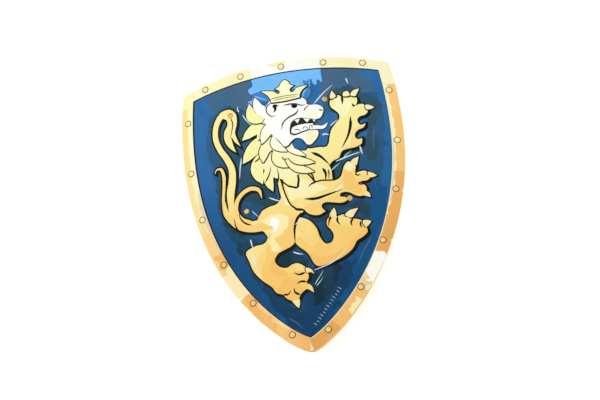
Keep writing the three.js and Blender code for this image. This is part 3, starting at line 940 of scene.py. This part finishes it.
def filmTile(name, flat, depth, triangles, inkOf):  # one closed thin tile of the film, let into the foam
    flat, depth, triangles = parted(flat, depth, wound(flat, triangles))
    used, index = np.unique(triangles, return_inverse=True)
    tile = index.reshape(-1, 3)
    count = len(used)
    x, y = flat[used].T
    points = np.vstack([bent(x, y, depth[used] - film["rise"]), bent(x, y, depth[used] + film["sink"])])
    rims = np.vstack([tile[:, [0, 1]], tile[:, [1, 2]], tile[:, [2, 0]]])
    owner = np.tile(np.arange(len(tile)), 3)
    seen = {(a, b) for a, b in rims.tolist()}
    sides, sideInk = [], []
    for (a, b), who in zip(rims.tolist(), owner.tolist()):
        if (b, a) not in seen:
            sides.append([b, a, a + count, b + count])
            sideInk.append(who)
    faces = tile.tolist() + (tile[:, ::-1] + count).tolist() + sides
    palette = [ink for ink in inks[name] if ink in set(inkOf)]
    number = np.array([palette.index(ink) for ink in inkOf])
    paints = [inkFinish(ink, *inks[name][ink]) for ink in palette]
    return addPiece(name, points, faces, paints, np.concatenate([number, number, number[sideInk]]),
                    crease=30)


flat, triangles, inkOf = cutFilm()
depth = filmDepth(flat)
for name, slotName in film["slots"].items():
    mine = np.isin(inkOf, list(inks[name]))
    piece = filmTile(name, flat, depth, triangles[mine], inkOf[mine])
    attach(piece, "root")
    print(name, len(piece.data.polygons), "faces")


straps = {  # millimetres on the face, as the rivets are set out
    "hand_strap": {"width": 25, "top": (-72, 130), "bottom": (-63, -1)},
    "forearm_strap": {"width": 30, "top": (50, 129.5), "bottom": (66, -5)},
    "thickness": 1.8, "seat": 1.0, "bow": 11.2, "tail": 11, "landing": 9, "rise": 32,
    "selvedge": 0.1, "edgeThin": 0.12, "endThin": 0.75, "rib": 3.1, "along": 150, "across": 14}


def webbingFinish():  # black polyester: a ribbed twill, a tight selvedge and a little lint
    web = Finish("black_webbing")
    where = web.node("ShaderNodeUVMap", {"uv_map": "weave"})
    split = web.axis("X", where)
    run = web.axis("Y", where)
    slant = split.maths("PINGPONG", split * 0.55 + run * 0.8, 0.5)
    other = split.maths("PINGPONG", run * 0.8 - split * 0.55 + 0.25, 0.5)
    picks = split.maths("PINGPONG", run * 1.25, 0.5)
    rows = split.maths("MODULO", split.maths("FLOOR", split * (1 / straps["rib"]), 0), 2)
    twill = slant * rows + other * (1 - rows)
    lint = web.noise(1500, 3)
    height = twill * 1.2 + picks * 0.6 + lint * 0.5
    # the raised threads of the twill are painted lighter and its grooves darker: painted highlight and
    # painted shade in the weave
    black = web.mix(web.step(height, 0.3, 1.1), screen(20, 21, 25), screen(52, 54, 60))
    black = web.mix(web.step(lint, 0.62, 0.8) * 0.4, black, screen(96, 98, 102))
    return web.skin(Base_Color=black, Roughness=lint * 0.2 + 0.68, Normal=web.bump(height, 0.8, 0.0005),
                    Sheen_Weight=0.25, Specular_IOR_Level=0.3)


def strapPiece(name, spec, paint):
    seat = sheet["thickness"] + straps["seat"] + straps["thickness"] / 2
    upper, lower = (Vector(bent(*np.array(spec[end], float), seat)) for end in ("top", "bottom"))
    along = (upper - lower).normalized()
    lean = (spec["top"][0] + spec["bottom"][0]) / 2 / sheet["faceRadius"]
    across = along.cross(Vector((lean, 0, math.sqrt(1 - lean * lean)))).normalized()
    outward = across.cross(along)
    span, middle = (upper - lower).length / mm, (upper + lower) / 2
    half, thick, width = span / 2 + straps["tail"], straps["thickness"], spec["width"]

    def hang(at):  # how far the slack webbing stands off the back
        t = min(max((span / 2 - straps["landing"] - abs(at)) / straps["rise"], 0), 1)
        return -straps["bow"] * t * t * (3 - 2 * t)

    # the woven section: flat faces with round selvedges
    section = []
    columns = straps["across"]
    for side in (1, -1):
        for k in range(columns + 1):
            u = side * (-1 + 2 * k / columns)
            past = max(abs(u) - 1 + straps["selvedge"], 0) / straps["selvedge"]
            swell = min(1.0, math.sqrt(1 - past * past / 1.2) + straps["edgeThin"])
            section.append((u * width / 2, side * thick / 2 * swell))
    points, coords, faces = [], [], []
    rows, ring = straps["along"], len(section)
    for row in range(rows + 1):
        at = -half + 2 * half * row / rows
        tilt = math.atan2(hang(at + 0.3) - hang(at - 0.3), 0.6)
        thin = straps["endThin"] if row in (0, rows) else 1
        for x, height in section:
            z = height * thin
            points.append(middle + (across * x + along * (at - math.sin(tilt) * z)
                                    + outward * (hang(at) + math.cos(tilt) * z)) * mm)
            coords.append((x, at))
    for row in range(rows):
        for k in range(ring):
            j = (k + 1) % ring
            faces.append([row * ring + k, row * ring + j, (row + 1) * ring + j, (row + 1) * ring + k])
    for row in (0, rows):
        for k in range(columns):
            faces.append([row * ring + k, row * ring + k + 1, row * ring + ring - 2 - k,
                          row * ring + ring - 1 - k])
    points, faces = welded(points, faces)
    piece = addPiece(name + "_webbing", points, faces, [paint], crease=50)
    layer = piece.data.uv_layers.new(name="weave")
    for loop in piece.data.loops:
        layer.data[loop.index].uv = coords[loop.vertex_index]
    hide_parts(name)
    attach(piece, "root")


webbing = webbingFinish()
for name in ("hand_strap", "forearm_strap"):
    strapPiece(name, straps[name], webbing)
print("straps woven")


rivets = {  # millimetres
    "headRadius": 3.5, "headRise": 1.4, "lip": 0.35, "flangeRadius": 4.0, "flange": 0.8, "shank": 1.5,
    "gap": 0.3, "sides": 40, "poleRadius": 0.001,  # the spin leaves that small a hole, which merging closes
    "nodes": ("hand_rivet_top", "hand_rivet_bottom", "forearm_rivet_top", "forearm_rivet_bottom")}


def brassFinish():  # pressed brass, bright on the dome, tarnished in fine blotches, scratched lightly
    brass = Finish("pressed_brass")
    tarnish = brass.noise(420, 4)
    scratch = brass.noise(900, 2, brass.stretched((1, 9, 1), 0.6))
    tone = brass.mix(brass.step(tarnish, 0.42, 0.66), screen(228, 192, 116), screen(178, 134, 66))
    return brass.skin(Base_Color=tone, Metallic=0.85, Roughness=tarnish * 0.3 + 0.22,
                      Normal=brass.bump(scratch, 0.2, 0.0001))


def rivetProfile():  # radius, and height above the face, from the dome to the flange's underside
    r, rise, lip = rivets["headRadius"], rivets["headRise"], rivets["lip"]
    low = -(sheet["thickness"] + straps["seat"] + straps["thickness"] + rivets["gap"])
    dome = [(r * math.sin(a), lip + (rise - lip) * math.cos(a)) for a in np.linspace(0, math.pi / 2, 9)]
    wide, under = rivets["flangeRadius"], low - rivets["flange"]
    flange = [(rivets["shank"], low), (wide - 0.2, low), (wide, low - 0.2), (wide, under + 0.25),
              (wide - 0.3, under), (1.6, under), (1.3, under + 0.3), (0, under + 0.35)]
    return dome + [(r - 0.1, 0.05), (r - 0.6, -0.1), (rivets["shank"], -0.1)] + flange


def rivetTree(paint):  # spins the profile and stands a rivet on every point
    tree = bpy.data.node_groups.new("setRivets", "GeometryNodeTree")
    face = tree.interface
    face.new_socket("Points", in_out="INPUT", socket_type="NodeSocketGeometry")
    keys = {}
    for name, kind in (("Profile", "Object"), ("Sides", "Int"), ("Pole Radius", "Float")):
        keys[name] = face.new_socket(name, in_out="INPUT", socket_type="NodeSocket" + kind).identifier
    face.new_socket("Rivets", in_out="OUTPUT", socket_type="NodeSocketGeometry")
    work = Nodes(tree)
    given = {name: work.node("NodeGroupInput", output=name) for name in ("Points", *keys)}
    ring = work.node("GeometryNodeCurvePrimitiveCircle", inputs={
        "Resolution": given["Sides"], "Radius": given["Pole Radius"]})
    profile = work.node("GeometryNodeObjectInfo", inputs={"Object": given["Profile"]}, output="Geometry")
    spun = work.node("GeometryNodeCurveToMesh", inputs={
        "Curve": ring, "Profile Curve": work.node("GeometryNodeMeshToCurve", inputs={"Mesh": profile})})
    closed = work.node("GeometryNodeMergeByDistance", inputs={
        "Geometry": spun, "Distance": given["Pole Radius"] * 4})
    outward = work.node("GeometryNodeInputNamedAttribute", {"data_type": "FLOAT_VECTOR"},
                        {"Name": "outward"})
    turn = work.node("FunctionNodeAlignRotationToVector", {"axis": "Z"}, {"Vector": outward})
    stood = work.node("GeometryNodeInstanceOnPoints", inputs={
        "Points": given["Points"], "Instance": closed, "Rotation": turn})
    painted = work.node("GeometryNodeSetMaterial", inputs={
        "Geometry": work.node("GeometryNodeRealizeInstances", inputs={"Geometry": stood}),
        "Material": paint})
    work.node("NodeGroupOutput", inputs={"Rivets": painted})
    return tree, keys


def lineObject(name, points, edges):  # bare points or a bare line, for a node tree to work from
    mesh = bpy.data.meshes.new(name)
    mesh.from_pydata(points, edges, [])
    made = bpy.data.objects.new(name, mesh)
    scene.collection.objects.link(made)
    return made


def setRivets(paint):
    # the spin turns the profile's Y downwards
    line = [(radius * mm, -height * mm, 0) for radius, height in rivetProfile()]
    profile = lineObject("rivet_profile", line, [(k, k + 1) for k in range(len(line) - 1)])
    spots = [spec[end] for spec in (straps["hand_strap"], straps["forearm_strap"])
             for end in ("top", "bottom")]
    holder = lineObject("rivet_spots", [tuple(bent(*np.array(spot, float), 0)) for spot in spots], [])
    outward = holder.data.attributes.new("outward", "FLOAT_VECTOR", "POINT")
    for i, (x, y) in enumerate(spots):
        lean = x / sheet["faceRadius"]
        outward.data[i].vector = (lean, 0, math.sqrt(1 - lean * lean))
    tree, keys = rivetTree(paint)
    modifier = holder.modifiers.new("setRivets", "NODES")
    modifier.node_group = tree
    modifier[keys["Profile"]] = profile
    modifier[keys["Sides"]] = rivets["sides"]
    modifier[keys["Pole Radius"]] = rivets["poleRadius"] * mm
    bpy.context.view_layer.update()
    done = bpy.data.meshes.new_from_object(holder.evaluated_get(bpy.context.evaluated_depsgraph_get()))
    piece = bpy.data.objects.new("brass_rivets", done)
    scene.collection.objects.link(piece)
    for spare in (holder, profile):
        bpy.data.objects.remove(spare)
    done.set_sharp_from_angle(angle=math.radians(40))
    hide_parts(*rivets["nodes"])
    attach(piece, "root")


setRivets(brassFinish())
print("rivets set")


studio = {"sky": 0.86, "softLight": 11, "lightSize": 2.2, "lightAt": (-1.0, 0.9, 2.0), "floor": 6,
          "floorGlow": 0.42}


def stageFinish():  # a pale table with a faint glow of its own
    floor = Finish("pale_floor")
    tone = floor.mix(floor.step(floor.noise(3), 0.3, 0.7), (0.93, 0.93, 0.93, 1), (0.95, 0.95, 0.95, 1))
    return floor.skin(Base_Color=tone, Roughness=0.9, Specular_IOR_Level=0.1,
                      Emission_Color=(1, 1, 1, 1), Emission_Strength=studio["floorGlow"])


wide = studio["floor"]
floor = addPiece("floor", [(-wide, -wide, 0), (wide, -wide, 0), (wide, wide, 0), (-wide, wide, 0)],
                 [[0, 1, 2, 3]], [stageFinish()])

world = bpy.data.worlds.new("studio")
world.use_nodes = True
world.node_tree.nodes["Background"].inputs["Color"].default_value = (1, 1, 1, 1)
world.node_tree.nodes["Background"].inputs["Strength"].default_value = studio["sky"]
scene.world = world
lamp = bpy.data.objects.new("softbox", bpy.data.lights.new("softbox", "AREA"))
lamp.data.energy = studio["softLight"]
lamp.data.size = studio["lightSize"]
lamp.location = studio["lightAt"]
lamp.rotation_euler = (-Vector(studio["lightAt"])).to_track_quat("-Z", "Y").to_euler()
scene.collection.objects.link(lamp)

shot = {"tilt": (-19.93, -7.78, 9.2), "slide": (-8.77, 30.86), "away": 2200, "lens": 106.85,
        "aim": (0, 35, 32.5)}
turn = (Matrix.Rotation(math.radians(shot["tilt"][2]), 3, "Z")
        @ Matrix.Rotation(math.radians(shot["tilt"][1]), 3, "Y")
        @ Matrix.Rotation(math.radians(shot["tilt"][0]), 3, "X"))
camera = bpy.data.objects.new("camera", bpy.data.cameras.new("camera"))
camera.data.lens = shot["lens"]
camera.data.sensor_width = 36
camera.data.clip_end = 50
spot = turn.transposed() @ Vector((-shot["slide"][0], -shot["slide"][1], shot["away"])) + Vector(shot["aim"])
camera.matrix_world = Matrix.Translation(spot * mm) @ turn.transposed().to_4x4()
scene.collection.objects.link(camera)
scene.camera = camera
scene.view_settings.view_transform = "Standard"
print("studio lit")
